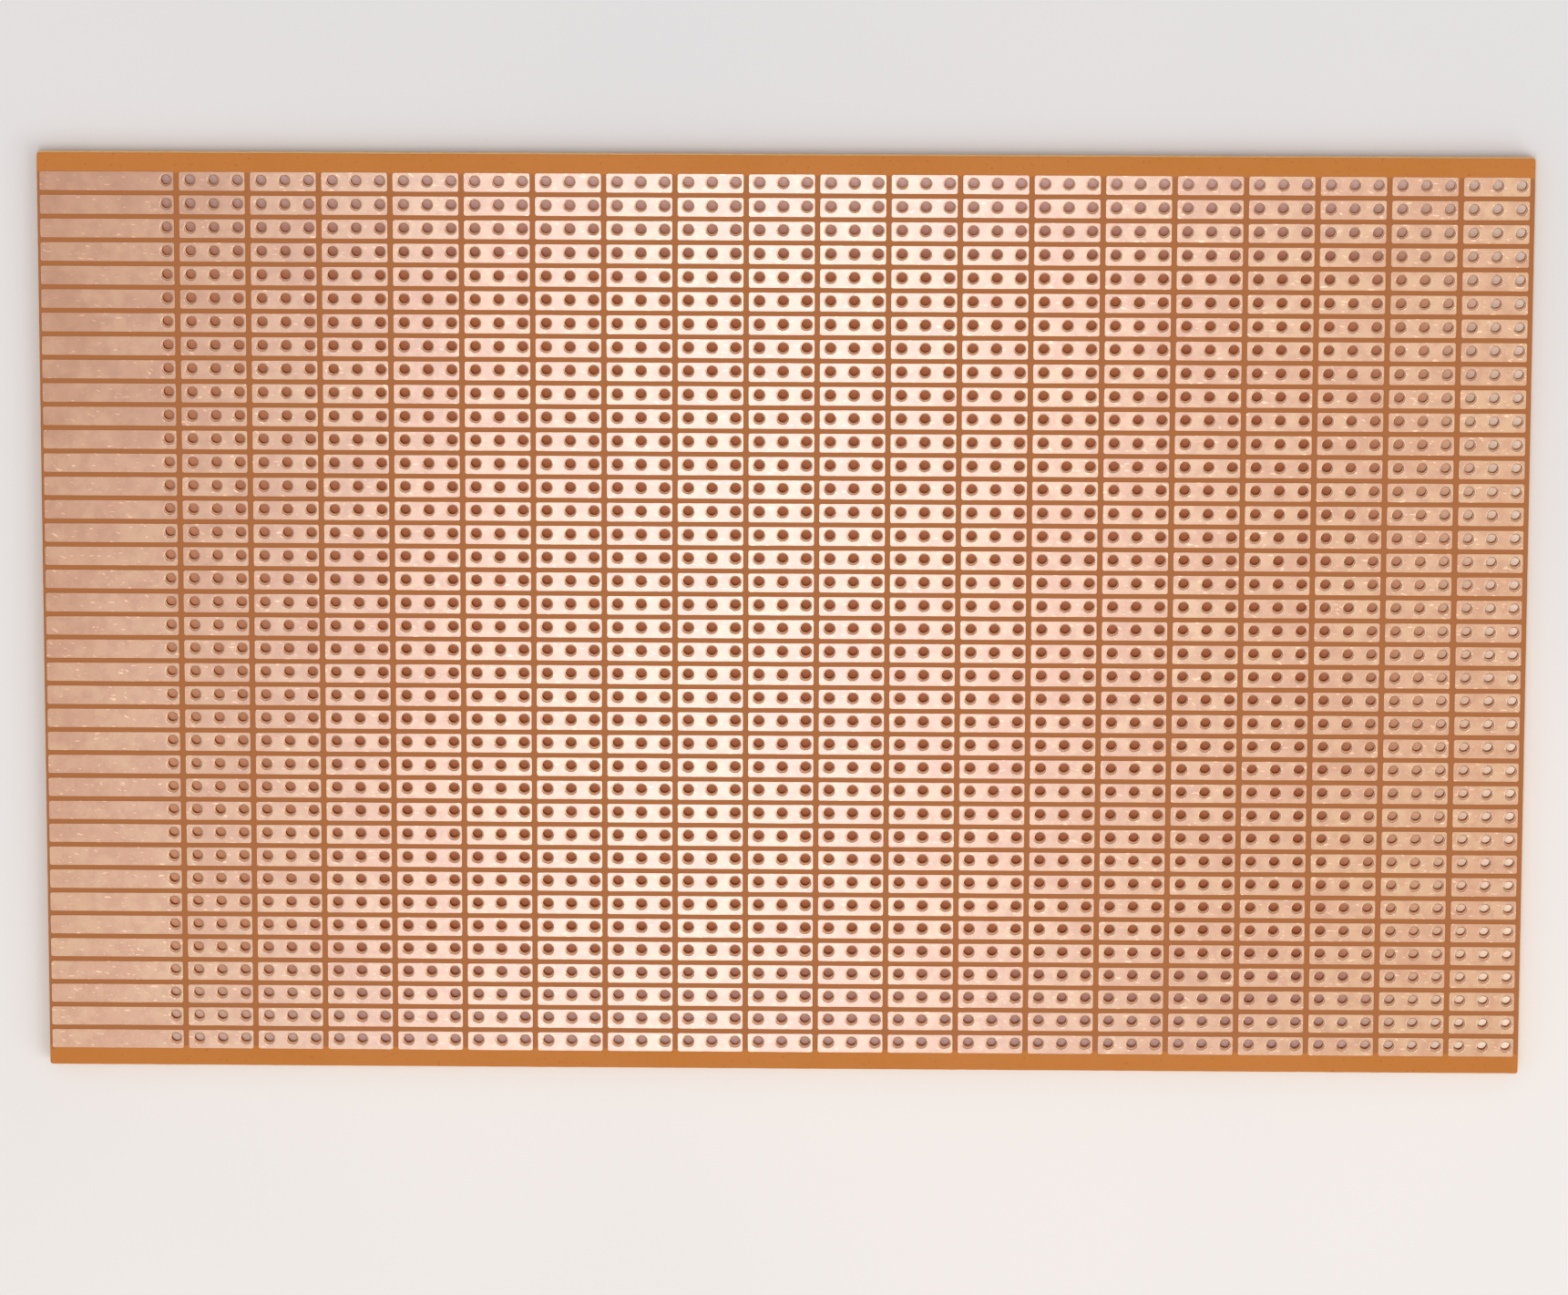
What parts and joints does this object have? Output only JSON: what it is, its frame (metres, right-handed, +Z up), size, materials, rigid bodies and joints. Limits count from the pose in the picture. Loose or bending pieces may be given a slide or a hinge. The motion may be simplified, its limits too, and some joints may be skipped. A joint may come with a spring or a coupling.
{
  "type": "prototype board",
  "caption": "Drilled paper-phenolic prototype board with short copper islands, each joining a few lead holes, and a row of long copper strips at one end.",
  "frame": {"origin": "middle of the card's underside, where the card lies on a surface", "axes": "+X along the card's length, away from the long strips; +Y across its width; +Z up, out of the copper side"},
  "size_m": [0.16, 0.1, 0.0016],
  "materials": {
    "laminate": "satin, fine paper grain",
    "copper": "bare copper, finely scrubbed"
  },
  "bodies": {
    "root": {"laminate": "laminate", "edge_strips": "copper", "pad_column_01": "copper", "pad_column_02": "copper", "pad_column_03": "copper", "pad_column_04": "copper", "pad_column_05": "copper", "pad_column_06": "copper", "pad_column_07": "copper", "pad_column_08": "copper", "pad_column_09": "copper", "pad_column_10": "copper", "pad_column_11": "copper", "pad_column_12": "copper", "pad_column_13": "copper", "pad_column_14": "copper", "pad_column_15": "copper", "pad_column_16": "copper", "pad_column_17": "copper", "pad_column_18": "copper", "pad_column_19": "copper"}
  },
  "joints": []
}
